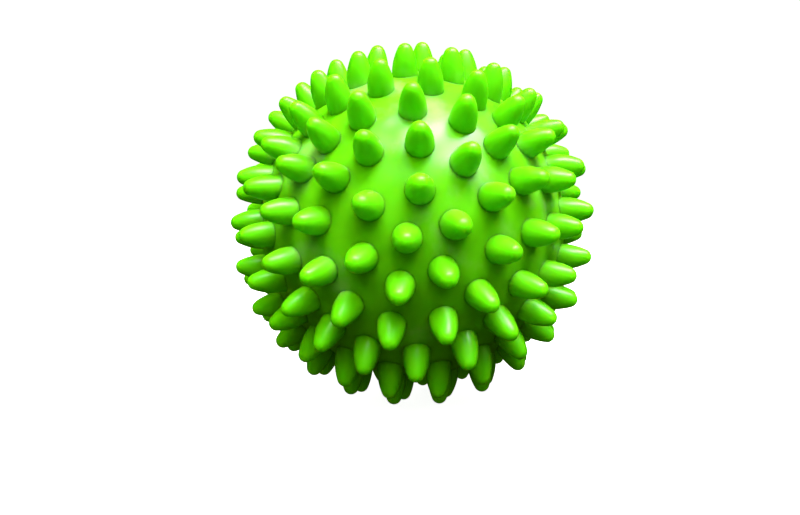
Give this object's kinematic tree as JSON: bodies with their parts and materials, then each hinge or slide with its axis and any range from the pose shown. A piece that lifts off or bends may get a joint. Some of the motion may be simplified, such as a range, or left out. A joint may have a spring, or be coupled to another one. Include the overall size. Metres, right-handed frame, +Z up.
{
  "type": "massage ball",
  "caption": "Hollow soft PVC massage ball with blunt spikes in rings all over it and a flush needle valve for inflating",
  "frame": {"origin": "centre of the ball", "axes": "+Z up, -Y towards the front pole, where one spike points straight out, +Y out of the needle valve at the rear pole, +X to the right seen from the front"},
  "size_m": [0.0694, 0.0689, 0.0694],
  "materials": {
    "green_pvc": "glossy soft PVC",
    "valve_rubber": "satin rubber"
  },
  "bodies": {
    "root": {"hollow_skin": "green_pvc", "needle_valve": "valve_rubber", "spike_ring_00": "green_pvc", "spike_ring_01": "green_pvc", "spike_ring_02": "green_pvc", "spike_ring_03": "green_pvc", "spike_ring_04": "green_pvc", "spike_ring_05": "green_pvc", "spike_ring_06": "green_pvc", "spike_ring_07": "green_pvc", "spike_ring_08": "green_pvc", "spike_ring_09": "green_pvc", "spike_ring_10": "green_pvc", "spike_ring_11": "green_pvc", "spike_ring_12": "green_pvc"}
  },
  "joints": []
}
